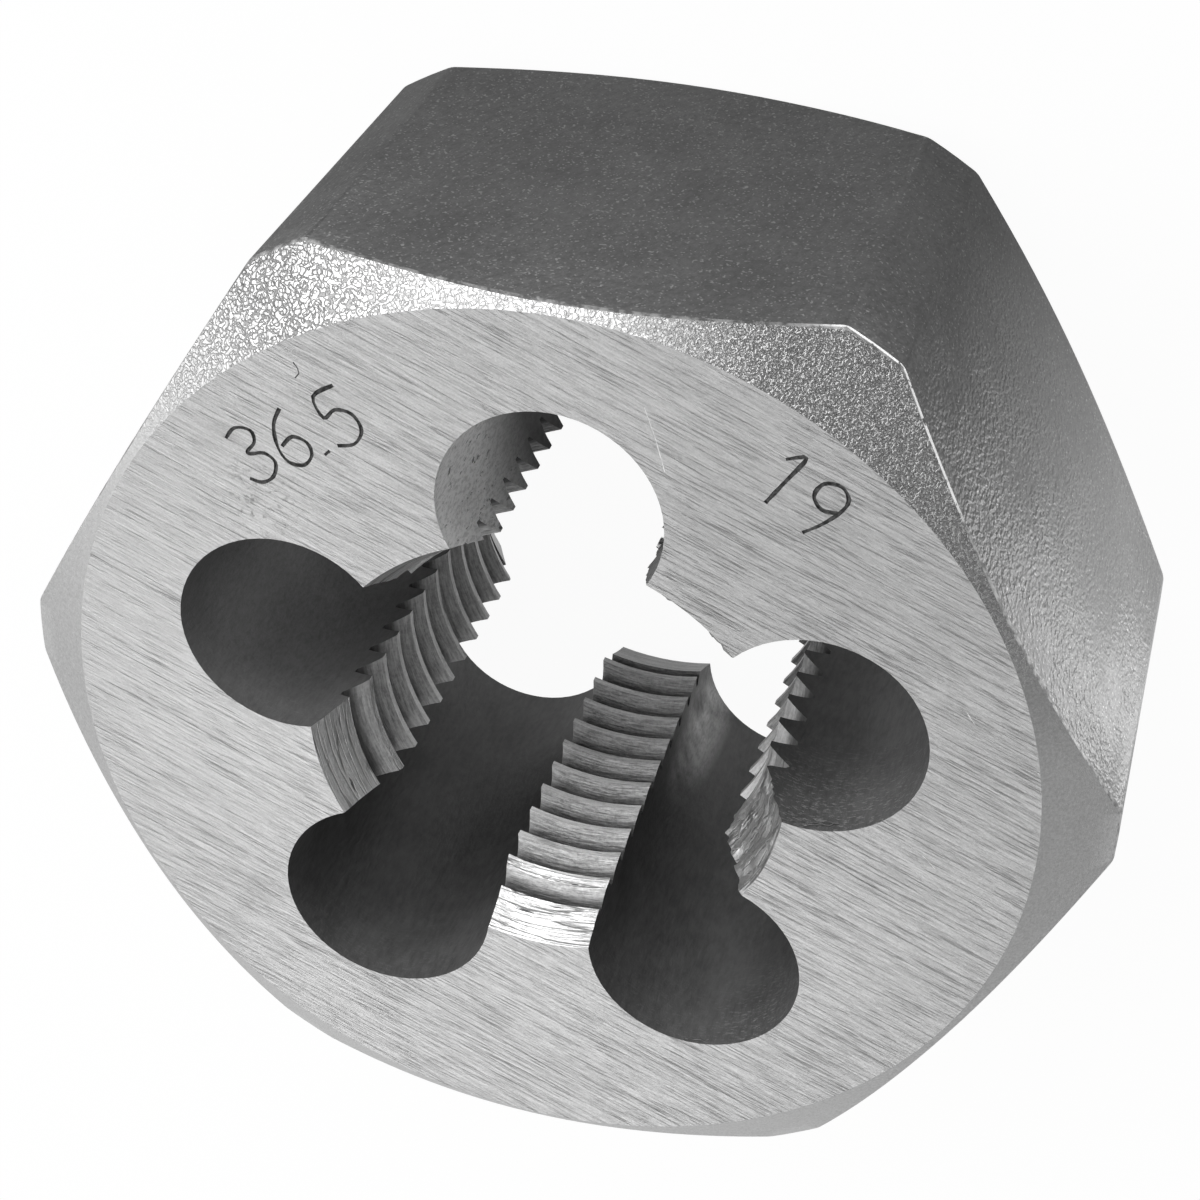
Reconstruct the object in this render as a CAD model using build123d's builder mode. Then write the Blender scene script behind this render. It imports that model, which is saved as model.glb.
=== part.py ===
from build123d import *
from math import acos, ceil, degrees, radians, sqrt, tan
import os

os.makedirs("parts", exist_ok=True)

# Hexagonal rethreading die, one piece of hardened tool steel, sizes in millimetres.
# It lies flat: Z is the thread's axis and the origin is the centre of the back face.

# Hexagonal body: two flats face +Y and -Y
across_flats = 36.5
thickness = 19.05
face_inset = 0.38
end_chamfer_angle = 35.0
corner_trim = 0.62
corner_blend = 0.8
edge_break = 0.1

# Right-hand metric thread that the lands cut
thread_diameter = 17.0
thread_pitch = 1.5
flank_angle = 30.0
lead_step = 0.4
lead_angle = 25.0

# Chip flutes: the first one is square to the +Y flat
flute_count = 5
flute_diameter = 8.1
flute_setback = 1.7
first_flute_angle = 90.0

# Turned outline of the body: both ends are coned and the six corners are trimmed round
flat_radius = across_flats / 2
corner_radius = across_flats / sqrt(3) - corner_trim
face_radius = flat_radius - face_inset
turning_overrun = 1.0
rim_radius = corner_radius + turning_overrun
rim_drop = (rim_radius - face_radius) * tan(radians(end_chamfer_angle))

# Thread form: narrow crests at the bore, a flat of an eighth of the pitch at the root
root_radius = thread_diameter / 2
crest_radius = root_radius - 0.6 * thread_pitch
root_half_width = thread_pitch / 16
lead_radius = root_radius + lead_step
lead_depth = (lead_radius - crest_radius) / tan(radians(lead_angle))

# The angle of a land at its crests, between two flutes, from the triangle of
# the axis, a flute's centre and the point where its wall meets the crests
flute_radius = flute_diameter / 2
flute_circle_radius = root_radius + flute_setback
flute_spacing = 360 / flute_count
flute_half_angle = degrees(
    acos(
        (crest_radius**2 + flute_circle_radius**2 - flute_radius**2)
        / (2 * crest_radius * flute_circle_radius)
    )
)
land_angle = flute_spacing - 2 * flute_half_angle

# One groove of the thread, a little longer than a land and open on the bore's side
groove_overrun = 4.0
groove_overlap = 0.1
groove_angle = land_angle + 2 * groove_overrun
mouth_radius = crest_radius - groove_overlap
mouth_half_width = root_half_width + (root_radius - mouth_radius) * tan(radians(flank_angle))

with BuildPart() as groove:
    with BuildLine() as groove_path:
        Helix(thread_pitch, thread_pitch * groove_angle / 360, root_radius)
    with BuildSketch(Plane.XZ):
        with BuildLine():
            Polyline(
                (mouth_radius, -mouth_half_width),
                (root_radius, -root_half_width),
                (root_radius, root_half_width),
                (mouth_radius, mouth_half_width),
                close=True,
            )
        make_face()
    sweep(path=groove_path.line, is_frenet=True)

# All grooves lie on one helix, which starts at the back face in line with the first
# flute, so each land's grooves stand higher than those of the land before it
grooves_up = ceil(thickness / thread_pitch)
groove_places = []
for land in range(flute_count):
    turned = (land + 0.5) * flute_spacing - groove_angle / 2
    start_height = thread_pitch * turned / 360
    for turn in range(-2, grooves_up + 1):
        groove_height = start_height + turn * thread_pitch
        groove_places.append(Location((0, 0, groove_height), (0, 0, first_flute_angle + turned)))

with BuildPart() as die_body:
    # Hexagonal bar with its corners turned down and softened
    with BuildSketch() as bar_section:
        RegularPolygon(flat_radius, 6, major_radius=False)
        Circle(corner_radius, mode=Mode.INTERSECT)
        fillet(bar_section.vertices(), corner_blend)
    extrude(amount=thickness)

    # Cones at both ends, which leave a round face and curved edges on the flats
    with BuildSketch(Plane.XZ):
        with BuildLine():
            Polyline(
                (0, 0),
                (face_radius, 0),
                (rim_radius, rim_drop),
                (rim_radius, thickness - rim_drop),
                (face_radius, thickness),
                (0, thickness),
                close=True,
            )
        make_face()
    revolve(axis=Axis.Z, mode=Mode.INTERSECT)

    # The rims of both cones are broken a little, all but the circles round the end faces
    cone_edges = die_body.faces().filter_by(GeomType.CONE).edges()
    edges_by_height = cone_edges.filter_by(GeomType.LINE, reverse=True).group_by(Axis.Z)
    rim_edges = [edge for level in edges_by_height[1:-1] for edge in level]
    chamfer(rim_edges, edge_break)

    # Bore at the thread's crests, opened by a lead-in cone at each end
    with BuildSketch(Plane.XZ):
        with BuildLine():
            Polyline(
                (0, 0),
                (lead_radius, 0),
                (crest_radius, lead_depth),
                (crest_radius, thickness - lead_depth),
                (lead_radius, thickness),
                (0, thickness),
                close=True,
            )
        make_face()
    revolve(axis=Axis.Z, mode=Mode.SUBTRACT)

    # Chip flutes, which break into the bore and leave the lands standing
    with BuildSketch():
        with PolarLocations(flute_circle_radius, flute_count, first_flute_angle):
            Circle(flute_radius)
    extrude(amount=thickness, mode=Mode.SUBTRACT)

    # Thread on the lands
    with Locations(*groove_places):
        add(groove.part, mode=Mode.SUBTRACT)

die_body.part.label = "die_body"
export_step(die_body.part, "parts/die_body.step")
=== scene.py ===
import math

import bmesh
import bpy
from mathutils import Matrix, Vector, noise as waver


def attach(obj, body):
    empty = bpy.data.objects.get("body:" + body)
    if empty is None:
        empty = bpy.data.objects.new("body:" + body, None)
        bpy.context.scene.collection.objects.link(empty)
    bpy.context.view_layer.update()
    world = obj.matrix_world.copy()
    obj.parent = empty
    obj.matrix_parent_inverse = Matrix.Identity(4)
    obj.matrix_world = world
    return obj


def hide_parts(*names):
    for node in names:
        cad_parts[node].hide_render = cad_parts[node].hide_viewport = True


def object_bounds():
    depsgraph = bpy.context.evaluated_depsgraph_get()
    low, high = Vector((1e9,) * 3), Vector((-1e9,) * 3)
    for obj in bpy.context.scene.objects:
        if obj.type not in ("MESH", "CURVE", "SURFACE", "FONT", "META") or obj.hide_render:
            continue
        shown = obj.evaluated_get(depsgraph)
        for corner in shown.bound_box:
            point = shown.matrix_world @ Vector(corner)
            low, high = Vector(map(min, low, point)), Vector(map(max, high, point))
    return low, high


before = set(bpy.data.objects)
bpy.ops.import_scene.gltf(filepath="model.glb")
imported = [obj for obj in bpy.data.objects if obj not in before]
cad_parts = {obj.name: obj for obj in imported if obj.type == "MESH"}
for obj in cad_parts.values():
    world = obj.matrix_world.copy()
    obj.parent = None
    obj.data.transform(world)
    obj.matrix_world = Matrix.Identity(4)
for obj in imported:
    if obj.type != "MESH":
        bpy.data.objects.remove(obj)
cadLow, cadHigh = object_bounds()
millimetre = 0.001

# The die as the frame gives it, in millimetres: it lies on its back face, with the thread along Z
die = {
    "thickness": cadHigh.z / millimetre,
    "flatRadius": cadHigh.y / millimetre,
    "cornerRadius": cadHigh.x / millimetre,
    "faceRadius": cadHigh.y / millimetre - 0.38,  # the end faces stop this far inside the flats
    "rightWay": (math.cos(math.radians(30)), math.sin(math.radians(30)), 0),
    "crestRadius": 7.6,
    "leadRadius": 8.9,
    "leadSlope": math.tan(math.radians(25)),
    "pitch": 1.5,
    "fluteCount": 5,
    "fluteCircleRadius": 10.2,
    "fluteRadius": 4.05,
    "firstFluteAngle": math.radians(90),
    "weld": 0.0005,  # points nearer than this are one
    "smoothUpTo": math.radians(28),
}


def fluteAngle(k):
    return die["firstFluteAngle"] + 2 * math.pi * k / die["fluteCount"]


def fluteCentre(k):
    return Vector((math.cos(fluteAngle(k)), math.sin(fluteAngle(k)))) * die["fluteCircleRadius"]


def crestAt(depth):
    # radius of the tooth crests at a depth below the nearer end face
    return max(die["crestRadius"], die["leadRadius"] - depth * die["leadSlope"])


def clamped(value):
    return max(0.0, min(1.0, value))


def addNode(tree, kind, inputs=None, **settings):
    node = tree.nodes.new(kind)
    for name, value in settings.items():
        setattr(node, name, value)
    for name, value in (inputs or {}).items():
        setSocket(tree, node.inputs[name], value)
    return node


def setSocket(tree, socket, value):
    if isinstance(value, bpy.types.NodeSocket):
        tree.links.new(value, socket)
    else:
        socket.default_value = value


def startMaterial(name):
    # an empty material and the place on the piece, in millimetres
    material = bpy.data.materials.new(name)
    material.use_nodes = True
    tree = material.node_tree
    tree.nodes.clear()
    place = addNode(tree, "ShaderNodeTexCoord").outputs["Object"]
    scaled = addNode(tree, "ShaderNodeVectorMath", {0: place, "Scale": 1 / millimetre}, operation="SCALE")
    return material, tree, scaled.outputs[0]


def stretched(tree, vector, turn=(0, 0, 0), scale=(1, 1, 1)):
    # the point is turned first and stretched after, so a small scale draws lines out along that axis
    turned = addNode(tree, "ShaderNodeMapping", {"Vector": vector, "Rotation": turn})
    return addNode(tree, "ShaderNodeMapping", {"Vector": turned.outputs[0], "Scale": scale}).outputs[0]


def noise(tree, vector, scale, detail, roughness):
    inputs = {"Vector": vector, "Scale": scale, "Detail": detail, "Roughness": roughness}
    return addNode(tree, "ShaderNodeTexNoise", inputs).outputs["Fac"]


def remap(tree, value, low, high, newLow=0.0, newHigh=1.0):
    inputs = {"Value": value, "From Min": low, "From Max": high, "To Min": newLow, "To Max": newHigh}
    return addNode(tree, "ShaderNodeMapRange", inputs).outputs["Result"]


def calculate(tree, operation, first, *others):
    # one operation over two or more values, from left to right
    total = first
    for other in others:
        total = addNode(tree, "ShaderNodeMath", {0: total, 1: other}, operation=operation).outputs[0]
    return total


def product(tree, *values):
    return calculate(tree, "MULTIPLY", *values)


def mixed(tree, *shares):
    # sum of values, each with its share
    return calculate(tree, "ADD", *[product(tree, value, share) for value, share in shares])


def sidesOf(tree, vector):
    return addNode(tree, "ShaderNodeSeparateXYZ", {0: vector}).outputs


def axisRadius(tree, sides):
    # distance from the thread's axis
    flat = addNode(tree, "ShaderNodeCombineXYZ", {0: sides["X"], 1: sides["Y"], 2: 0.0}).outputs[0]
    return addNode(tree, "ShaderNodeVectorMath", {0: flat}, operation="LENGTH").outputs["Value"]


def nearTo(tree, place, spot):
    # 1 within the inner reach of a spot, 0 beyond the outer one
    vectors = {0: place, 1: spot["middle"]}
    away = addNode(tree, "ShaderNodeVectorMath", vectors, operation="DISTANCE").outputs["Value"]
    return remap(tree, away, *spot["reach"], 1.0, 0.0)


def contour(tree, value, width, middle=0.5):
    # 1 along the lines where a noise has its middle value, 0 away from them
    away = calculate(tree, "SUBTRACT", value, middle)
    away = addNode(tree, "ShaderNodeMath", {0: away}, operation="ABSOLUTE").outputs[0]
    return remap(tree, away, width * 0.25, width, 1.0, 0.0)


def grey(level):
    return (level, level, level, 1)


def blend(tree, factor, first, second):
    node = addNode(tree, "ShaderNodeMix", data_type="RGBA", blend_type="MIX")
    for number, value in ((0, factor), (6, first), (7, second)):
        setSocket(tree, node.inputs[number], value)
    return node.outputs[2]


def between(tree, factor, tones):
    return blend(tree, factor, grey(tones[0]), grey(tones[1]))


def marksOf(tree, vector, mark):
    # 0 to 1 where a mark's noise passes through its range
    return remap(tree, noise(tree, vector, *mark["noise"]), *mark["range"])


def overlaid(tree, colour, amount, mark):
    # a mark's tone laid over a colour
    return blend(tree, product(tree, amount, mark["share"]), colour, grey(mark["tone"]))


def steel(tree, look, colour, height, metallic=None):
    depth = look["depth"] * millimetre
    relief = addNode(tree, "ShaderNodeBump", {"Height": height, "Distance": depth, "Strength": 1.0})
    inputs = {"Base Color": colour, "Roughness": look["roughness"], "Normal": relief.outputs["Normal"]}
    inputs["Metallic"] = look["metallic"] if metallic is None else metallic
    shader = addNode(tree, "ShaderNodeBsdfPrincipled", inputs)
    addNode(tree, "ShaderNodeOutputMaterial", {"Surface": shader.outputs[0]})


# Finishes, one for each way that the steel was worked. Tones go from dark to light, a noise has
# its waves in a millimetre, its detail and its roughness, and a range is what of it shows, from
# none to all. Spots and depths are in millimetres.
groundLook = {
    "roughness": 0.42,
    "metallic": 1.0,
    "depth": 0.03,
    "tones": (0.43, 0.66),
    "range": (0.38, 0.62),
    "lines": {"turn": (0, 0, math.radians(22.8)), "scale": (0.04, 1, 1)},
    "crossing": {"turn": (0, 0, math.radians(21)), "scale": (0.03, 1, 1)},
    "longLines": {"turn": (0, 0, math.radians(24)), "scale": (0.012, 1, 1)},
    "fine": (14.0, 3, 0.65),
    "speckle": (14.0, 2, 0.6),
    "hairs": {"noise": (15.0, 2, 0.6), "range": (0.42, 0.32), "share": 1.0, "tone": 0.26},
    "patchy": {"noise": (0.4, 2, 0.5), "range": (0.38, 0.6, 0.35, 0.75)},
    "scores": {"noise": (7.0, 2, 0.6), "range": (0.31, 0.26), "share": 0.6, "tone": 0.26},
    "glints": {"noise": (10.0, 2, 0.6), "range": (0.64, 0.74), "share": 0.6, "tone": 0.8},
    "pits": {"noise": (3.4, 3, 0.65), "range": (0.55, 0.66), "share": 0.6, "tone": 0.22},
    "pitted": {"middle": (-10.4, 8.7, 19.05), "reach": (0.6, 2.3)},
    # a patch of painted shade and one of painted light on the face, in place of how the lamps fall across
    # it
    "paintedShade": {"middle": (8.0, 10.0, 19.05), "reach": (3.0, 17.0), "share": 0.42, "tone": 0.26},
    "light": {"middle": (-16.0, 2.0, 19.05), "reach": (3.0, 12.0), "share": 0.4, "tone": 0.72},
}


def groundSteel():
    # straight scratches of a surface grinder, a few deeper scores and a patch of faint rust pits, with a
    # patch of painted shade and one of painted light
    look = groundLook
    material, tree, place = startMaterial("groundFace")
    longLines = stretched(tree, place, **look["longLines"])
    fine = noise(tree, stretched(tree, place, **look["lines"]), *look["fine"])
    speckle = noise(tree, place, *look["speckle"])
    hairs = marksOf(tree, stretched(tree, place, **look["crossing"]), look["hairs"])
    scores = marksOf(tree, longLines, look["scores"])
    glints = marksOf(tree, longLines, look["glints"])
    pits = product(tree, nearTo(tree, place, look["pitted"]), marksOf(tree, place, look["pits"]))
    relief = mixed(tree, (fine, 0.7), (speckle, 0.3))
    colour = between(tree, remap(tree, relief, *look["range"]), look["tones"])
    # painted shade on one part of the face and painted light on another
    for name in ("paintedShade", "light"):
        colour = overlaid(tree, colour, nearTo(tree, place, look[name]), look[name])
    thinned = product(tree, hairs, marksOf(tree, place, look["patchy"]))
    layers = (("hairs", thinned), ("scores", scores), ("glints", glints), ("pits", pits))
    for name, amount in layers:
        colour = overlaid(tree, colour, amount, look[name])
    cuts = ((hairs, -0.7), (scores, -1.0), (glints, 0.5), (pits, -0.5))
    steel(tree, look, colour, mixed(tree, (fine, 1.0), (speckle, 0.3), *cuts))
    return material


blastedLook = {
    "roughness": 0.5,
    "metallic": 1.0,
    "depth": 0.12,
    "coarse": (4.8, 0, 0.5),
    "crossed": (6.2, 0, 0.5),
    "crossedTurn": (0.7, 0.4, 0.9),
    "small": (10.5, 1, 0.5),
    "lineWidths": {"coarse": 0.08, "crossed": 0.065, "small": 0.07, "crests": 0.07},
    "dust": {"noise": (9.0, 2, 0.6), "range": (0.3, 0.7)},
    # painted highlight near the top of the cone: paler tones and fewer dark lines
    "top": {"middle": (-1.0, 18.0, 18.6), "reach": (3.0, 8.5)},
    # a patch of painted light on the left of the cone
    "light": {"middle": (-16.5, 7.0, 18.6), "reach": (2.0, 8.0), "share": 0.5, "tone": 0.72},
    "lean": 0.25,  # how much the line between the painted light above and the even grey below leans to the right
    "grainy": (6.5, 13.5, 0.1, 1.0),
    "dull": (1.0, 7.0),
    "paintedEvenLow": (13.5, 8.0),
    # painted light on the upper left, painted shade on the right, and an even grey painted low down in
    # place of both
    "brightTones": (0.57, 0.80),
    "topHighlightTones": (0.84, 1.0),
    "rightShadeTones": (0.24, 0.36),
    "paintedEvenLowTones": (0.50, 0.63),
    "lineTones": (0.18, 0.14),
    "lineShare": 0.85,
    "topLines": 0.45,
    "crestLevel": 0.6,
    "crestTone": 0.9,
    "crestShares": (0.85, 0.6),
}


def blastedSteel():
    # grit-blasted skin: light grains parted by thin dark lines, finer to the right and smoother low down,
    # with painted light at the top and upper left, painted shade to the right and an even grey painted low
    # down
    look = blastedLook
    widths = look["lineWidths"]
    material, tree, place = startMaterial("blastedCone")
    sides = sidesOf(tree, place)
    along = mixed(tree, (sides["Y"], 1.0), (sides["X"], look["lean"]))
    strength = remap(tree, calculate(tree, "MINIMUM", along, sides["Y"]), *look["grainy"])
    dull = remap(tree, sides["X"], *look["dull"])
    coarse = noise(tree, place, *look["coarse"])
    crossed = noise(tree, stretched(tree, place, look["crossedTurn"]), *look["crossed"])
    small = noise(tree, place, *look["small"])
    grain = blend(tree, dull, coarse, small)
    coarseLines = contour(tree, coarse, widths["coarse"])
    coarseLines = calculate(tree, "MAXIMUM", coarseLines, contour(tree, crossed, widths["crossed"]))
    windings = blend(tree, dull, coarseLines, contour(tree, small, widths["small"]))
    grains = marksOf(tree, place, look["dust"])
    top = nearTo(tree, place, look["top"])
    # painted light: the upper left is paler, and palest near the top
    bright = between(tree, grains, look["brightTones"])
    bright = blend(tree, top, bright, between(tree, grains, look["topHighlightTones"]))
    # painted shade on the right, where the grain is also finer
    colour = blend(tree, dull, bright, between(tree, grains, look["rightShadeTones"]))
    # an even grey painted low down in place of the painted light and shade
    paintedEvenLow = remap(tree, along, *look["paintedEvenLow"])
    colour = blend(tree, paintedEvenLow, colour, between(tree, grains, look["paintedEvenLowTones"]))
    # a patch of painted light on the left
    colour = overlaid(tree, colour, nearTo(tree, place, look["light"]), look["light"])
    crests = contour(tree, grain, widths["crests"], look["crestLevel"])
    crests = product(tree, crests, strength, remap(tree, dull, 0, 1, *look["crestShares"]))
    colour = blend(tree, crests, colour, grey(look["crestTone"]))
    # fewer dark lines under the painted highlight at the top
    faint = remap(tree, top, 0, 1, 1.0, look["topLines"])
    dark = product(tree, windings, faint, strength, look["lineShare"])
    colour = blend(tree, dark, colour, between(tree, dull, look["lineTones"]))
    steel(tree, look, colour, product(tree, mixed(tree, (grain, 0.7), (windings, -0.3)), strength))
    return material


hardenedLook = {
    "roughness": 0.42,
    "metallic": 0.85,
    "depth": 0.12,
    "tones": (0.20, 0.285),
    "range": (0.38, 0.62),
    "skin": (6.0, 1, 0.5),
    "skinShape": {"turn": (0, math.radians(25), 0), "scale": (1, 1, 0.55)},
    "dust": (12.0, 2, 0.6),
    "clouds": (0.35, 2, 0.5),
    "specks": {"noise": (10.0, 0, 0.5), "range": (0.70, 0.78), "share": 0.8, "tone": 0.55},
    "cloudStrength": (0.38, 0.55, 0.4, 1.0),
    "smoothTowardTop": (13.0, 17.5, 1.0, 0.3),
}


def hardenedFlat():
    # flats dark from hardening: a lizard-skin grain, dust and a few bright specks
    look = hardenedLook
    material, tree, place = startMaterial("hardenedFlat")
    skin = noise(tree, stretched(tree, place, **look["skinShape"]), *look["skin"])
    dust = noise(tree, place, *look["dust"])
    clouds = noise(tree, place, *look["clouds"])
    relief = mixed(tree, (skin, 0.35), (dust, 0.35), (clouds, 0.3))
    colour = between(tree, remap(tree, relief, *look["range"]), look["tones"])
    colour = overlaid(tree, colour, marksOf(tree, place, look["specks"]), look["specks"])
    smooth = remap(tree, sidesOf(tree, place)["Y"], *look["smoothTowardTop"])
    strength = product(tree, remap(tree, clouds, *look["cloudStrength"]), smooth)
    steel(tree, look, colour, product(tree, skin, strength))
    return material


edgeLook = {
    "roughness": 0.4,
    # metallic on the rim, and not at all where the highlight is painted
    "metallic": (0.6, 0.0),
    "depth": 0.03,
    "tones": (0.16, 0.42),
    "range": (0.4, 0.6),
    "wearAndPaintedLight": (3.0, 3, 0.6),
    "corner": {"middle": (11.6, 15.8, 17.8), "reach": (3.2, 4.6)},
    "rim": (-0.045, -0.03),  # how far inside the outline the painted highlight starts and is full
    "nicks": (0.38, 0.44),
    "bright": 1.0,
}


def wornEdge():
    # the broken rims between cones and flats, rubbed, with a painted highlight along the outermost line of
    # the rim near one corner
    look = edgeLook
    material, tree, place = startMaterial("wornEdge")
    wearAndPaintedLight = noise(tree, place, *look["wearAndPaintedLight"])
    dull = between(tree, remap(tree, wearAndPaintedLight, *look["range"]), look["tones"])
    # how near to the outermost line of the rim: along the right flat, the top flat and the corner between
    vectors = {0: place, 1: die["rightWay"]}
    across = addNode(tree, "ShaderNodeVectorMath", vectors, operation="DOT_PRODUCT").outputs["Value"]
    sides = sidesOf(tree, place)
    outlines = (
        (across, die["flatRadius"]),
        (sides["Y"], die["flatRadius"]),
        (axisRadius(tree, sides), die["cornerRadius"]),
    )
    beyond = [calculate(tree, "SUBTRACT", value, limit) for value, limit in outlines]
    rim = remap(tree, calculate(tree, "MAXIMUM", *beyond), *look["rim"])
    nicks = remap(tree, wearAndPaintedLight, *look["nicks"])
    # painted highlight: white and not metallic along the rim's outer line near one corner, broken by nicks
    paintedHighlight = product(tree, nearTo(tree, place, look["corner"]), rim, nicks)
    colour = blend(tree, paintedHighlight, dull, grey(look["bright"]))
    steel(tree, look, colour, wearAndPaintedLight, remap(tree, paintedHighlight, 0, 1, *look["metallic"]))
    return material


fluteLook = {
    "roughness": 0.55,
    "metallic": 0.3,
    "depth": 0.03,
    # painted shade: darker deeper in the flutes
    "deepShadeTones": (0.068, 0.108),
    "frontTones": (0.078, 0.122),
    "range": (0.38, 0.62),
    "front": (8.0, 19.0),
    "drawn": {"scale": (1, 1, 0.35)},
    "smudge": (0.5, 3, 0.6),
    "grain": (5.0, 3, 0.6),
    "flecks": {"noise": (4.2, 3, 0.65), "range": (0.54, 0.68), "share": 0.6, "tone": 0.32},
    "fleckShape": {"scale": (0.9, 0.9, 2.6)},
    "mouth": (13.5, 18.0),
    "rightmost": (6.5, 8.5, 0.2, 1.0),
    # painted light on one flute's wall
    "wearAndPaintedLight": {"middle": (-4.0, 9.6, 16.5), "reach": (2.0, 6.5)},
    # a pale smudge near the back of one flute
    "lower": {"middle": (4.1, -17.8, 1.0), "reach": (0.3, 3.2), "share": 0.75},
    "lowerShape": {"scale": (1.8, 1.8, 0.5)},
    "lowerSmudge": (0.3, 0.6),
    # a wide, faint paler place
    "wide": {"middle": (-13.0, 0.5, 13.5), "reach": (3.0, 8.0), "share": 0.12},
    "paleMottle": {"noise": (9.0, 3, 0.7), "range": (0.36, 0.56)},
    "paleTones": (0.68, 1.0),
    "holes": {"noise": (5.0, 3, 0.7), "range": (0.61, 0.68), "share": 1.0, "tone": 0.1},
}


def darkFlute():
    # reamed and dark from hardening, with painted shade deeper in so that it is paler at the mouths,
    # chatter specks, a pale smudge near the back, a wide faint paler place and painted light on one wall,
    # which has dark pits
    look = fluteLook
    material, tree, place = startMaterial("darkFlute")
    sides = sidesOf(tree, place)
    drawn = stretched(tree, place, **look["drawn"])
    smudge = noise(tree, place, *look["smudge"])
    grain = noise(tree, drawn, *look["grain"])
    mottled = remap(tree, mixed(tree, (smudge, 0.5), (grain, 0.5)), *look["range"])
    # painted shade deeper in the flutes
    deep, pale = between(tree, mottled, look["deepShadeTones"]), between(tree, mottled, look["frontTones"])
    colour = blend(tree, remap(tree, sides["Z"], *look["front"]), deep, pale)
    flecks = marksOf(tree, stretched(tree, place, **look["fleckShape"]), look["flecks"])
    mouth = remap(tree, sides["Z"], *look["mouth"])
    flecks = product(tree, flecks, mouth, remap(tree, sides["X"], *look["rightmost"]))
    colour = overlaid(tree, colour, flecks, look["flecks"])
    # painted light on one wall
    upper = nearTo(tree, place, look["wearAndPaintedLight"])
    lower = nearTo(tree, stretched(tree, place, **look["lowerShape"]), look["lower"])
    lower = product(tree, lower, remap(tree, smudge, *look["lowerSmudge"]), look["lower"]["share"])
    wide = product(tree, nearTo(tree, place, look["wide"]), look["wide"]["share"])
    smudgeAndPaintedLight = between(tree, marksOf(tree, drawn, look["paleMottle"]), look["paleTones"])
    # the pale smudge, the wide paler place and the painted light laid over the wall
    colour = blend(tree, calculate(tree, "MAXIMUM", upper, lower, wide), colour, smudgeAndPaintedLight)
    holes = product(tree, upper, marksOf(tree, drawn, look["holes"]))
    colour = overlaid(tree, colour, holes, look["holes"])
    steel(tree, look, colour, mixed(tree, (grain, 1.0), (flecks, 0.6)))
    return material


def threadMap(tree, place, drawnOut=0.12):
    # coordinates that follow the thread: along it, across it and outwards, in millimetres
    sides = sidesOf(tree, place)
    angle = calculate(tree, "ARCTAN2", sides["Y"], sides["X"])
    rise = product(tree, angle, die["pitch"] / (2 * math.pi))
    inputs = {
        0: product(tree, angle, die["crestRadius"] * drawnOut),
        1: calculate(tree, "SUBTRACT", sides["Z"], rise),
        2: axisRadius(tree, sides),
    }
    return addNode(tree, "ShaderNodeCombineXYZ", inputs).outputs[0]


crestLook = {
    "roughness": 0.42,
    "metallic": 0.9,
    "depth": 0.06,
    "range": (0.36, 0.62),
    # painted shade deeper in the bore, painted light towards the front, and painted light and shade by
    # side
    "deepShadeTones": (0.20, 0.42),
    "frontTones": (0.66, 0.97),
    "leftTones": (0.54, 0.82),
    "rightTones": (0.36, 0.66),
    "front": (9.0, 14.5),
    "leftward": (-3.0, -5.0),
    "rightward": (2.0, 4.0),
    "streaks": (8.0, 3, 0.65),
    "bands": (2.2, 2, 0.5),
    "grain": (8.0, 2, 0.6),
    "scored": {"noise": (3.4, 1, 0.5), "width": 0.04, "share": 0.75, "tone": 0.24},
    "scoredShape": {"scale": (0.45, 1, 1)},
    "scoredFrom": (14.0, 16.0),
    "torn": {"noise": (4.0, 3, 0.7), "range": (0.64, 0.70), "share": 1.0, "tone": 0.10},
}


def cutCrest():
    # crests and lead-in cones, streaked by the tool that cut them, with painted light towards the front,
    # brightest on the land below the bore and darker on the lands to the left and right, and painted shade
    # deeper in
    look = crestLook
    material, tree, place = startMaterial("cutCrest")
    sides = sidesOf(tree, place)
    follow = threadMap(tree, place)
    streaks = noise(tree, follow, *look["streaks"])
    bands = noise(tree, follow, *look["bands"])
    grain = noise(tree, place, *look["grain"])
    relief = mixed(tree, (streaks, 0.5), (bands, 0.25), (grain, 0.25))
    mottled = remap(tree, relief, *look["range"])
    # painted light towards the front; the lands to the left and right are painted darker
    pale = between(tree, mottled, look["frontTones"])
    for way, tones in (("leftward", "leftTones"), ("rightward", "rightTones")):
        turned = remap(tree, sides["X"], *look[way])
        pale = blend(tree, turned, pale, between(tree, mottled, look[tones]))
    # painted shade deeper in the bore
    deep = between(tree, mottled, look["deepShadeTones"])
    colour = blend(tree, remap(tree, sides["Z"], *look["front"]), deep, pale)
    score = look["scored"]
    scored = noise(tree, stretched(tree, follow, **look["scoredShape"]), *score["noise"])
    scored = contour(tree, scored, score["width"])
    scored = product(tree, scored, remap(tree, sides["Z"], *look["scoredFrom"], 0.0, score["share"]))
    colour = blend(tree, scored, colour, grey(score["tone"]))
    torn = marksOf(tree, follow, look["torn"])
    colour = overlaid(tree, colour, torn, look["torn"])
    steel(tree, look, colour, mixed(tree, (relief, 1.0), (scored, -0.4), (torn, -0.6)))
    return material


grooveLook = {
    "roughness": 0.45,
    "metallic": 0.8,
    "depth": 0.04,
    "range": (0.38, 0.62),
    # painted shade deeper in and in the roots, painted light towards the front and by side
    "deepShadeTones": (0.12, 0.27),
    "frontTones": (0.32, 0.72),
    "leftTones": (0.26, 0.48),
    "rightTones": (0.56, 0.80),
    "front": (7.5, 18.5),
    "leftward": (-3.0, -5.0),
    "rightward": (2.0, 4.0),
    "rightFront": (7.0, 15.0, 0.0, 0.9),
    "streaks": (11.0, 3, 0.65),
    "grain": (7.0, 2, 0.6),
    "roots": (7.95, 8.3, 0.0, 0.8),
    "rootTone": 0.05,
}


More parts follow.
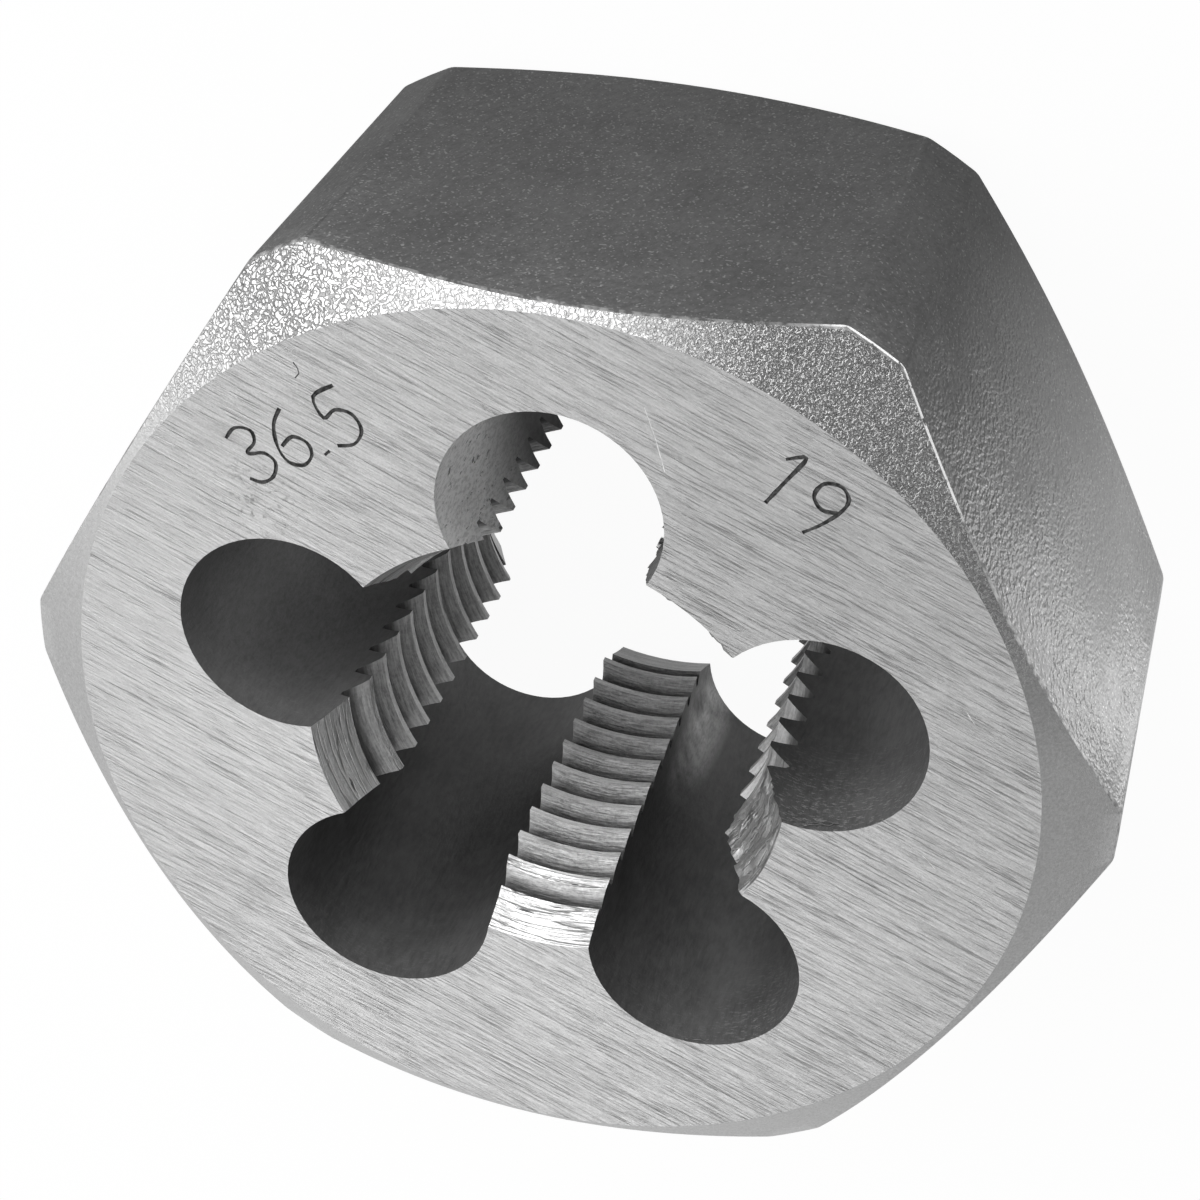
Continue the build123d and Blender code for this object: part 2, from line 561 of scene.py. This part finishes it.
def cutGroove():
    # sides and roots of the thread, with painted light towards the front and by side, and painted shade
    # deeper in and in the roots
    look = grooveLook
    material, tree, place = startMaterial("cutGroove")
    sides = sidesOf(tree, place)
    follow = threadMap(tree, place)
    streaks = noise(tree, follow, *look["streaks"])
    relief = mixed(tree, (streaks, 0.7), (noise(tree, place, *look["grain"]), 0.3))
    mottled = remap(tree, relief, *look["range"])
    front = remap(tree, sides["Z"], *look["front"])
    left = remap(tree, sides["X"], *look["leftward"])
    right = remap(tree, sides["X"], *look["rightward"])
    right = product(tree, right, remap(tree, sides["Z"], *look["rightFront"]))
    # painted shade deeper in, painted light towards the front, darker to the left and lighter to the right
    # near the front
    colour = between(tree, mottled, look["deepShadeTones"])
    for share, tones in ((front, "frontTones"), (left, "leftTones"), (right, "rightTones")):
        colour = blend(tree, share, colour, between(tree, mottled, look[tones]))
    # painted shade in the roots of the thread
    roots = remap(tree, sidesOf(tree, follow)["Z"], *look["roots"])
    colour = blend(tree, roots, colour, grey(look["rootTone"]))
    steel(tree, look, colour, relief)
    return material


scribedLook = {
    "roughness": 0.6,
    "metallic": 0.3,
    "depth": 0.02,
    "tones": (0.02, 0.09),
    "range": (0.4, 0.6),
    "noise": (6.0, 3, 0.6),
}
scratchLook = {
    "roughness": 0.3,
    "metallic": 0.6,
    "depth": 0.01,
    "tones": (0.48, 0.72),
    "range": (0.35, 0.65),
    "noise": (5.0, 2, 0.5),
}


def cutLine(name, look):
    # the bottom of a scribed line or a scratch
    material, tree, place = startMaterial(name)
    uneven = noise(tree, place, *look["noise"])
    colour = between(tree, remap(tree, uneven, *look["range"]), look["tones"])
    steel(tree, look, colour, uneven)
    return material


finishes = {
    "groundFace": groundSteel(),
    "blastedCone": blastedSteel(),
    "hardenedFlat": hardenedFlat(),
    "wornEdge": wornEdge(),
    "darkFlute": darkFlute(),
    "cutCrest": cutCrest(),
    "cutGroove": cutGroove(),
    "scribedLine": cutLine("scribedLine", scribedLook),
    "freshScratch": cutLine("freshScratch", scratchLook),
}
finishNames = list(finishes)
print("finishes:", len(finishes))

# How a face of the die is told from the others, by its place in millimetres and by its normal
faceSigns = {
    "depthOfFace": 0.01,
    "levelFace": 0.99,
    "insideRim": 0.2,  # from the round of the end face inwards
    "uprightFlat": 0.03,
    "slopeOfCone": 0.79,  # cones look up more than this, the broken rims less
    "fluteError": 0.05,
    "uprightFlute": 0.05,
    "crestError": 0.06,
    "crestInwards": -0.85,
}


def onFlute(point):
    # number of the flute whose wall a point in millimetres lies on, or None
    for k in range(die["fluteCount"]):
        away = (Vector((point.x, point.y)) - fluteCentre(k)).length
        if abs(away - die["fluteRadius"]) < faceSigns["fluteError"]:
            return k
    return None


def finishOf(centre, normal):
    # the finish of a face of the die, from where it lies in millimetres and which way it looks
    depth = min(centre.z, die["thickness"] - centre.z)
    slope = abs(normal.z)
    if depth < faceSigns["depthOfFace"] and slope > faceSigns["levelFace"]:
        return "groundFace"
    radius = math.hypot(centre.x, centre.y)
    if radius > die["faceRadius"] - faceSigns["insideRim"]:
        if slope < faceSigns["uprightFlat"]:
            return "hardenedFlat"
        return "blastedCone" if slope > faceSigns["slopeOfCone"] else "wornEdge"
    if onFlute(centre) is not None and slope < faceSigns["uprightFlute"]:
        return "darkFlute"
    outwards = (centre.x * normal.x + centre.y * normal.y) / radius
    nearCrest = radius < crestAt(depth) + faceSigns["crestError"]
    return "cutCrest" if nearCrest and outwards < faceSigns["crestInwards"] else "cutGroove"


# Teeth that are torn at the front. Each land has the angle of its middle, how deep the tear goes,
# how full its grooves are and how rough it is. One is less deep on its left-turning side (slant),
# one has only some radius left of its teeth. All in degrees and millimetres.
tornLands = [
    {"angle": 342, "depth": 4.4, "filled": 0.92, "rough": 0.17, "slant": 1.5},
    {"angle": 54, "depth": 5.2, "filled": 1.0, "rough": 0.2, "left": 8.3},
    {"angle": 270, "depth": 5.0, "filled": 0.0, "rough": 0.035},
    {"angle": 198, "depth": 3.0, "filled": 0.0, "rough": 0.02},
    {"angle": 126, "depth": 3.0, "filled": 0.0, "rough": 0.03},
]
tearing = {
    "landAngle": math.radians(30),
    "reachAngle": math.radians(20),  # from the middle of a land, a little past its sides
    "below": 0.3,
    "spare": 0.01,
    "cutAngle": 1.3,
    "cutsToSide": 12,
    "cutDepth": 0.16,
    "weld": 0.002,
    "fade": 0.8,  # the tear dies out over this depth
    "start": 0.15,  # and grows over this one
    "faceDepth": 0.005,  # nothing moves above this
    "ripples": [(6, 2.2, 1.0), (25, 6.5, 0.6)],  # waves around, waves down and share
}


def turnedFrom(land, point):
    # angle of a point from the middle of the land
    turned = math.atan2(point.y, point.x) - math.radians(land["angle"])
    return (turned + math.pi) % (2 * math.pi) - math.pi


def belongs(land, vert):
    point = vert.co / millimetre
    inside = math.hypot(point.x, point.y) < die["leadRadius"] + tearing["spare"]
    turned = abs(turnedFrom(land, point)) < tearing["reachAngle"]
    return inside and turned and die["thickness"] - point.z < land["depth"] + tearing["below"]


def divideLand(shape, land):
    # cuts along and across the land, so that its surface can be roughened
    faces = [face for face in shape.faces if all(belongs(land, vert) for vert in face.verts)]
    edges = dict.fromkeys(edge for face in faces for edge in face.edges)
    verts = dict.fromkeys(vert for face in faces for vert in face.verts)
    part = [*faces, *edges, *verts]
    cuts = []
    for step in range(-tearing["cutsToSide"], tearing["cutsToSide"] + 1):
        angle = math.radians(land["angle"]) + math.radians(step * tearing["cutAngle"])
        cuts.append((Vector((0, 0, 0)), Vector((-math.sin(angle), math.cos(angle), 0))))
    for step in range(1, int(land["depth"] / tearing["cutDepth"])):
        height = die["thickness"] - step * tearing["cutDepth"]
        cuts.append((Vector((0, 0, height)) * millimetre, Vector((0, 0, 1))))
    weld = tearing["weld"] * millimetre
    for place, normal in cuts:
        cut = bmesh.ops.bisect_plane(shape, geom=part, dist=weld, plane_co=place, plane_no=normal)
        part = cut["geom"]


def tornPoint(land, point):
    # where a point of a torn land goes, in millimetres, or None where the tear doesn't reach it
    depth = die["thickness"] - point.z
    across = clamped(0.5 + turnedFrom(land, point) / tearing["landAngle"])
    fade = clamped((land["depth"] - land.get("slant", 0) * across - depth) / tearing["fade"])
    if depth < tearing["faceDepth"] or fade == 0.0:
        return None
    radius = math.hypot(point.x, point.y)
    angle = math.atan2(point.y, point.x)
    ripple = 0.0
    for around, down, share in tearing["ripples"]:
        ripple += share * waver.noise(Vector((angle * around, point.z * down, land["angle"])))
    radius += (max(crestAt(depth), land.get("left", 0)) - radius) * land["filled"] * fade
    radius += ripple * land["rough"] * fade * min(1.0, depth / tearing["start"])
    k = onFlute(point)
    if k is not None:
        # a point on a flute's wall stays on it
        ring = die["fluteCircleRadius"]
        reach = (radius**2 + ring**2 - die["fluteRadius"] ** 2) / (2 * radius * ring)
        side = math.copysign(1, math.sin(angle - fluteAngle(k)))
        angle = fluteAngle(k) + side * math.acos(reach)
    return Vector((radius * math.cos(angle), radius * math.sin(angle), point.z))


def tearTeeth(shape):
    groove, crest = finishNames.index("cutGroove"), finishNames.index("cutCrest")
    for land in tornLands:
        divideLand(shape, land)
        for vert in [vert for vert in shape.verts if belongs(land, vert)]:
            moved = tornPoint(land, vert.co / millimetre)
            if moved is not None:
                vert.co = moved * millimetre
        if land["filled"] > 0:
            for face in shape.faces:
                if face.material_index == groove and all(belongs(land, vert) for vert in face.verts):
                    face.material_index = crest


# Scribed sizes of the die, in hand-drawn digits, and the scratches around them.
# A stroke runs through points in a box one high; places and lengths are in millimetres.
digitStrokes = {
    "1": [(0.02, 0.78), (0.22, 1.0), (0.24, 0.5), (0.25, 0.0)],
    "3": [
        (0.05, 0.9), (0.3, 1.0), (0.52, 0.86), (0.46, 0.66), (0.26, 0.57), (0.27, 0.51),
        (0.5, 0.43), (0.58, 0.22), (0.4, 0.02), (0.16, 0.0), (0.0, 0.14),
    ],
    "5": [
        (0.56, 1.0), (0.14, 0.96), (0.09, 0.58), (0.34, 0.63),
        (0.56, 0.46), (0.55, 0.16), (0.3, 0.0), (0.02, 0.08),
    ],
    "6": [
        (0.48, 1.0), (0.22, 0.8), (0.05, 0.45), (0.06, 0.15), (0.27, 0.0),
        (0.5, 0.1), (0.55, 0.32), (0.38, 0.5), (0.12, 0.42),
    ],
    "9": [
        (0.5, 0.62), (0.3, 0.5), (0.08, 0.6), (0.06, 0.86), (0.27, 1.0),
        (0.48, 0.9), (0.52, 0.66), (0.45, 0.3), (0.34, 0.0),
    ],
    ".": [(0.0, 0.02), (0.12, 0.05)],
}
marks = {
    "lineRadius": 0.085,
    "labels": [
        {"digits": "36.5", "start": (-10.6, 9.3), "turn": math.radians(33), "height": 2.2, "gap": 0.34},
        {"digits": "19", "start": (6.9, 12.6), "turn": math.radians(-34), "height": 2.3, "gap": 0.8},
    ],
    "scratchRadius": 0.025,
    "scratches": [
        [(3.15, 15.08), (3.6, 13.9), (3.96, 12.73)],
        [(13.57, -0.8), (14.0, -1.1), (14.43, -1.53)],
        [(14.8, 5.42), (15.12, 4.99)],
        [(16.76, -4.55), (17.3, -4.62)],
    ],
    "darkScratches": [[(-9.0, 14.5), (-8.85, 14.3), (-8.8, 14.1), (-8.95, 13.9)]],
    "pressure": (0.8, 0.35),  # width of a line, and how much it changes
    "changes": 3,  # changes of width in a millimetre
    "curveSteps": 4,
    "weld": 0.0001,
}


def addStrokes(name, strokes, radius, finish):
    # tubes along the strokes: those without a height lie half above the front face, to be cut into it
    path = bpy.data.curves.new(name, "CURVE")
    path.dimensions = "3D"
    path.bevel_depth = radius * millimetre
    path.bevel_resolution = 1
    path.use_fill_caps = True
    for stroke in strokes:
        line = path.splines.new("POLY")
        line.points.add(len(stroke) - 1)
        for point, place in zip(line.points, stroke):
            x, y, z = (*place, die["thickness"])[:3]
            point.co = (x * millimetre, y * millimetre, z * millimetre, 1)
            change = waver.noise(Vector((x * marks["changes"], y * marks["changes"], 0.5)))
            point.radius = marks["pressure"][0] + marks["pressure"][1] * change
    source = bpy.data.objects.new(name, path)
    bpy.context.scene.collection.objects.link(source)
    mesh = bpy.data.meshes.new_from_object(source.evaluated_get(bpy.context.evaluated_depsgraph_get()))
    bpy.data.objects.remove(source)
    mesh.materials.clear()
    for each in finishNames:
        mesh.materials.append(finishes[each])
    shape = bmesh.new()
    shape.from_mesh(mesh)
    bmesh.ops.remove_doubles(shape, verts=shape.verts, dist=marks["weld"] * millimetre)
    bmesh.ops.recalc_face_normals(shape, faces=shape.faces)
    for face in shape.faces:
        face.material_index = finishNames.index(finish)
    shape.to_mesh(mesh)
    shape.free()
    cutter = bpy.data.objects.new(name, mesh)
    bpy.context.scene.collection.objects.link(cutter)
    return cutter


def smoothLine(points):
    # the same stroke with its corners drawn round, as a hand does
    last = len(points) - 1
    steps = marks["curveSteps"]
    drawn = []
    for i in range(last):
        around = [Vector(points[max(0, min(last, i + k))]) for k in (-1, 0, 1, 2)]
        before, first, second, after = around
        for step in range(steps):
            t = step / steps
            curve = 2 * first + (second - before) * t
            curve += (2 * before - 5 * first + 4 * second - after) * t**2
            curve += (3 * first - before - 3 * second + after) * t**3
            drawn.append(tuple(curve / 2))
    return drawn + [tuple(points[-1])]


def writtenLabel(label):
    # the strokes of a label's digits, one after the other along its line
    right = Vector((math.cos(label["turn"]), math.sin(label["turn"])))
    up = Vector((-right.y, right.x))
    height = label["height"]
    pen = Vector(label["start"])
    strokes = []
    for digit in label["digits"]:
        points = digitStrokes[digit]
        strokes.append([tuple(pen + right * x * height + up * y * height) for x, y in smoothLine(points)])
        pen += right * (max(x for x, y in points) * height + label["gap"])
    return strokes


def scribe(piece):
    strokes = [stroke for label in marks["labels"] for stroke in writtenLabel(label)]
    cutters = [
        addStrokes("scribedDigits", strokes, marks["lineRadius"], "scribedLine"),
        addStrokes("darkScratches", marks["darkScratches"], marks["scratchRadius"], "scribedLine"),
        addStrokes("brightScratches", marks["scratches"], marks["scratchRadius"], "freshScratch"),
    ]
    for cutter in cutters:
        cut = piece.modifiers.new(cutter.name, "BOOLEAN")
        cut.operation = "DIFFERENCE"
        cut.solver = "EXACT"
        cut.use_self = True
        cut.object = cutter
    finished = bpy.data.meshes.new_from_object(piece.evaluated_get(bpy.context.evaluated_depsgraph_get()))
    piece.modifiers.clear()
    piece.data = finished
    for cutter in cutters:
        bpy.data.objects.remove(cutter)


# Burrs raised by the cutter at two rims: the points they curl along, how far they stray and
# how thick they are, in millimetres
burrs = [
    {
        "points": [(8.9, -0.95, 18.97), (9.9, -0.86, 18.84), (11.4, -0.6, 18.62)],
        "stray": 0.07,
        "radius": 0.022,
        "turns": 30,
    },
    {
        "points": [(9.0, -0.92, 18.85), (9.7, -0.83, 18.7), (10.7, -0.68, 18.6)],
        "stray": 0.08,
        "radius": 0.02,
        "turns": 22,
    },
    {
        "points": [(5.9, -12.25, 18.98), (6.3, -12.29, 18.9), (6.8, -12.2, 18.85)],
        "stray": 0.08,
        "radius": 0.022,
        "turns": 12,
    },
]
burrCurl = 5.3  # bends in a millimetre
burrSeed = 3  # keeps the bends the same in every run


def curl(burr):
    # a wavering line along the burr's points
    first, middle, last = (Vector(point) for point in burr["points"])
    line = []
    for step in range(burr["turns"] + 1):
        t = step / burr["turns"]
        spot = first.lerp(middle, t).lerp(middle.lerp(last, t), t)
        line.append(tuple(spot + waver.noise_vector(spot * burrCurl) * burr["stray"]))
    return line


def addBurrs(shape):
    waver.seed_set(burrSeed)
    for burr in burrs:
        raised = addStrokes("burr", [curl(burr)], burr["radius"], "cutGroove")
        shape.from_mesh(raised.data)
        bpy.data.objects.remove(raised)


def makeDie():
    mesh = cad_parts["die_body"].data.copy()
    mesh.materials.clear()
    if "custom_normal" in mesh.attributes:
        mesh.attributes.remove(mesh.attributes["custom_normal"])
    for name in finishNames:
        mesh.materials.append(finishes[name])
    shape = bmesh.new()
    shape.from_mesh(mesh)
    bmesh.ops.remove_doubles(shape, verts=shape.verts, dist=die["weld"] * millimetre)
    shape.normal_update()
    for face in shape.faces:
        finish = finishOf(face.calc_center_median() / millimetre, face.normal)
        face.material_index = finishNames.index(finish)
    shape.to_mesh(mesh)
    shape.free()
    piece = bpy.data.objects.new("steel_die", mesh)
    bpy.context.scene.collection.objects.link(piece)
    scribe(piece)
    shape = bmesh.new()
    shape.from_mesh(piece.data)
    tearTeeth(shape)
    addBurrs(shape)
    for face in shape.faces:
        face.smooth = True
    openEdges = [edge for edge in shape.edges if not edge.is_manifold]
    print("die:", len(shape.faces), "faces,", len(openEdges), "open edges")
    shape.to_mesh(piece.data)
    shape.free()
    piece.data.set_sharp_from_angle(angle=die["smoothUpTo"])
    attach(piece, "root")
    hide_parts("die_body")


makeDie()

# Camera: lens and sensor in millimetres, clip distances in metres
camera = {
    "place": Vector((20.210, 56.878, 88.385)) * millimetre,
    "aim": Vector((1.857, 4.794, 9.525)) * millimetre,
    "roll": math.radians(-153.67),
    "lens": 76.5,
    "sensor": 36.0,
    "shift": (-0.055, -0.070),
    "clip": (0.005, 10),
}


def addCamera():
    lensData = bpy.data.cameras.new("camera")
    lensData.lens = camera["lens"]
    lensData.sensor_width = camera["sensor"]
    lensData.shift_x, lensData.shift_y = camera["shift"]
    lensData.clip_start, lensData.clip_end = camera["clip"]
    eye = bpy.data.objects.new("camera", lensData)
    look = camera["aim"] - camera["place"]
    turn = look.to_track_quat("-Z", "Y").to_matrix() @ Matrix.Rotation(camera["roll"], 3, "Z")
    eye.matrix_world = Matrix.Translation(camera["place"]) @ turn.to_4x4()
    bpy.context.scene.collection.objects.link(eye)
    bpy.context.scene.camera = eye
    return eye


eye = addCamera()
print("camera ready")

# Floor, world and lamps. Spots and a lamp's aim are in millimetres; toward is the way from the aim
# to the lamp in the camera's own right, up and back; distance and size are in metres, power in watts.
studio = {
    "floorSize": 3.0,
    "floorTone": 0.85,
    "floorGlow": 0.95,
    "worldLevel": 0.37,
    "shadeLevel": 0.1,
    "shades": [
        {"middle": (0, 20, 0), "reach": (35.0, 70.0), "share": 0.9, "from": (3.5, 15.5)},
        {"middle": (-1, -7, 0), "reach": (2.0, 9.0), "share": 0.5},
    ],
    "lamps": {
        "key": {
            "aim": (0, 0, 10),
            "toward": (-0.6, 0.2, 0.75),
            "distance": 0.4,
            "size": 0.8,
            "power": 1.72,
        },
        "left": {
            "aim": (-9, 15, 18),
            "toward": (-0.82, 0.08, 0.57),
            "distance": 0.3,
            "size": 0.3,
            "power": 0.25,
        },
        "low": {
            "aim": (0, -13, 19),
            "toward": (-0.42, -0.84, 0.34),
            "distance": 0.12,
            "size": 0.1,
            "power": 0.038,
        },
        "top": {
            "aim": (0, 0, 15),
            "toward": (-0.12, 0.69, 0.71),
            "distance": 0.3,
            "size": 0.12,
            "power": 0.25,
        },
        "side": {
            "aim": (17, 5, 9),
            "toward": (0.85, 0.13, -0.51),
            "distance": 0.0145,
            "size": 0.018,
            "power": 0.0016,
        },
    },
}


def addFloor():
    material, tree, place = startMaterial("paleFloor")
    # white to the eye; in the steel it is darker behind the die and under its bore, which lie in its shade
    paths = addNode(tree, "ShaderNodeLightPath").outputs
    across = sidesOf(tree, place)["Y"]
    shaded = []
    for shade in studio["shades"]:
        part = product(tree, nearTo(tree, place, shade), shade["share"])
        if "from" in shade:
            part = product(tree, part, remap(tree, across, *shade["from"]))
        shaded.append(part)
    shaded = product(tree, calculate(tree, "MAXIMUM", *shaded), paths["Is Glossy Ray"])
    level = remap(tree, shaded, 0, 1, 1.0, studio["shadeLevel"])
    share = product(tree, paths["Is Camera Ray"], studio["floorGlow"])
    share = calculate(tree, "MAXIMUM", share, paths["Is Glossy Ray"])
    matt = addNode(tree, "ShaderNodeBsdfDiffuse", {"Color": grey(studio["floorTone"])})
    white = addNode(tree, "ShaderNodeEmission", {"Color": grey(1.0), "Strength": level})
    both = addNode(tree, "ShaderNodeMixShader", {0: share, 1: matt.outputs[0], 2: white.outputs[0]})
    addNode(tree, "ShaderNodeOutputMaterial", {"Surface": both.outputs[0]})
    shape = bmesh.new()
    bmesh.ops.create_grid(shape, x_segments=1, y_segments=1, size=studio["floorSize"] / 2)
    mesh = bpy.data.meshes.new("floor")
    shape.to_mesh(mesh)
    shape.free()
    mesh.materials.append(material)
    floor = bpy.data.objects.new("floor", mesh)
    bpy.context.scene.collection.objects.link(floor)


def setWorld():
    world = bpy.data.worlds.new("studio")
    bpy.context.scene.world = world
    world.use_nodes = True
    tree = world.node_tree
    tree.nodes.clear()
    paths = addNode(tree, "ShaderNodeLightPath").outputs
    level = remap(tree, paths["Is Camera Ray"], 0, 1, studio["worldLevel"], 1.0)
    light = addNode(tree, "ShaderNodeBackground", {"Color": grey(1.0), "Strength": level})
    addNode(tree, "ShaderNodeOutputWorld", {"Surface": light.outputs[0]})


def addLamp(name, lamp):
    lampData = bpy.data.lights.new(name, "AREA")
    lampData.shape = "DISK"
    lampData.size = lamp["size"]
    lampData.energy = lamp["power"]
    direction = eye.matrix_world.to_3x3() @ Vector(lamp["toward"]).normalized()
    spot = Matrix.Translation(Vector(lamp["aim"]) * millimetre + direction * lamp["distance"])
    placed = bpy.data.objects.new(name, lampData)
    placed.matrix_world = spot @ direction.to_track_quat("Z", "Y").to_matrix().to_4x4()
    bpy.context.scene.collection.objects.link(placed)


addFloor()
setWorld()
for name, lamp in studio["lamps"].items():
    addLamp(name, lamp)
print("studio: floor, world and", len(studio["lamps"]), "lamps")

bpy.context.scene.view_settings.view_transform = "Standard"
print("scene ready")
